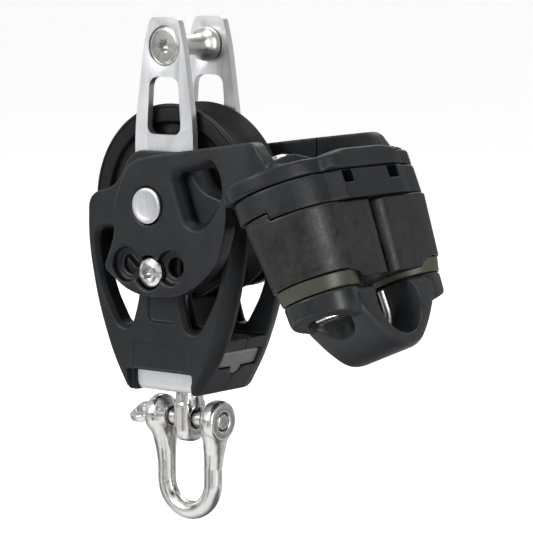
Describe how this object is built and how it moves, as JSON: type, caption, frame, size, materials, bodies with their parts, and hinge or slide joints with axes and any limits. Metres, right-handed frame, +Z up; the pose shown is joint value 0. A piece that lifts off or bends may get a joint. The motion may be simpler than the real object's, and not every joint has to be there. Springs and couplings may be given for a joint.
{
  "type": "single sheave swivel block with cam cleat",
  "caption": "Single sheave sailing block with a becket on top, a swivel bow shackle below and a cam cleat with fairlead on an arm that turns about the sheave axle.",
  "frame": {"origin": "centre of the becket pin, midway between the two becket plates", "axes": "+X towards the cam cleat, Y along the sheave axle, +Z up from the shackle to the becket"},
  "size_m": [0.1073, 0.0676, 0.1464],
  "materials": {
    "brushed_stainless": "fine brushed grain, satin",
    "polished_stainless": "polished, faint turning marks",
    "ball_steel": "ground and polished",
    "moulded_nylon": "fine moulded grain, blue black",
    "cam_nylon": "moulded, slightly mottled fibre filled surface",
    "fairlead_nylon": "smooth satin moulding",
    "black_acetal": "smooth machined and moulded",
    "white_acetal": "smooth",
    "grey_alloy": "extruded, dull",
    "olive_anodised": "hard anodised, satin"
  },
  "bodies": {
    "frame": {"near_cheek": "moulded_nylon", "far_cheek": "moulded_nylon", "load_strap": "brushed_stainless", "head_block": "grey_alloy", "axle_pin": "brushed_stainless", "axle_cap": "brushed_stainless", "inner_race": "white_acetal", "becket_spool": "polished_stainless", "becket_screw_near": "polished_stainless", "becket_screw_far": "polished_stainless", "arm_screw_near": "polished_stainless", "arm_screw_far": "polished_stainless", "swivel_washer": "white_acetal"},
    "sheave_wheel": {"sheave": "black_acetal"},
    "ball_train": {"ball_cage": "white_acetal", "ball_01": "ball_steel", "ball_02": "ball_steel", "ball_03": "ball_steel", "ball_04": "ball_steel", "ball_05": "ball_steel", "ball_06": "ball_steel", "ball_07": "ball_steel", "ball_08": "ball_steel", "ball_09": "ball_steel", "ball_10": "ball_steel"},
    "cam_arm": {"near_arm": "moulded_nylon", "far_arm": "moulded_nylon", "cleat_platform": "moulded_nylon", "cleat_base": "moulded_nylon", "cam_bush_near": "polished_stainless", "cam_bush_far": "polished_stainless", "cam_spring_near": "polished_stainless", "cam_spring_far": "polished_stainless", "cam_cap_near": "olive_anodised", "cam_cap_far": "olive_anodised", "cleat_screw_near": "polished_stainless", "cleat_screw_far": "polished_stainless", "cleat_nut_near": "polished_stainless", "cleat_nut_far": "polished_stainless", "fairlead": "fairlead_nylon", "fairlead_wire": "polished_stainless"},
    "cam_near_turn": {"cam_near": "cam_nylon"},
    "cam_far_turn": {"cam_far": "cam_nylon"},
    "swivel": {"swivel_post": "polished_stainless", "swivel_nut": "brushed_stainless"},
    "shackle": {"shackle_bow": "polished_stainless"},
    "pin": {"shackle_pin": "polished_stainless"}
  },
  "joints": [
    {"name": "sheave_spin", "type": "hinge", "parent": "frame", "child": "sheave_wheel", "pos_m": [0, 0, -0.045], "axis": [0, 1, 0], "continuous": true},
    {"name": "ball_roll", "type": "hinge", "parent": "frame", "child": "ball_train", "pos_m": [0, 0, -0.045], "axis": [0, 1, 0], "continuous": true},
    {"name": "arm_swing", "type": "hinge", "parent": "frame", "child": "cam_arm", "pos_m": [0, 0, -0.045], "axis": [0, 1, 0], "range_deg": [-25.5, 25.5]},
    {"name": "cam_near_open", "type": "hinge", "parent": "cam_arm", "child": "cam_near_turn", "pos_m": [0.052, -0.019, -0.0429], "axis": [0.3907, 0, -0.9205], "range_deg": [0, 35], "stiffness_Nm_per_rad": 0.03, "springref_deg": -28.65},
    {"name": "cam_far_open", "type": "hinge", "parent": "cam_arm", "child": "cam_far_turn", "pos_m": [0.052, 0.019, -0.0429], "axis": [0.3907, 0, -0.9205], "range_deg": [-35, 0], "stiffness_Nm_per_rad": 0.03, "springref_deg": 28.65},
    {"name": "swivel_turn", "type": "hinge", "parent": "frame", "child": "swivel", "pos_m": [0, 0, -0.1], "axis": [0, 0, 1], "continuous": true},
    {"name": "shackle_swing", "type": "hinge", "parent": "swivel", "child": "shackle", "pos_m": [0, 0, -0.1083], "axis": [1, 0, 0], "range_deg": [-95, 95]},
    {"name": "pin_unscrew", "type": "slide", "parent": "shackle", "child": "pin", "axis": [-1, 0, 0], "range_m": [0, 0.008]}
  ],
  "couplings": [
    {"joint": "ball_roll", "follows": "sheave_spin", "ratio": 0.6216}
  ]
}
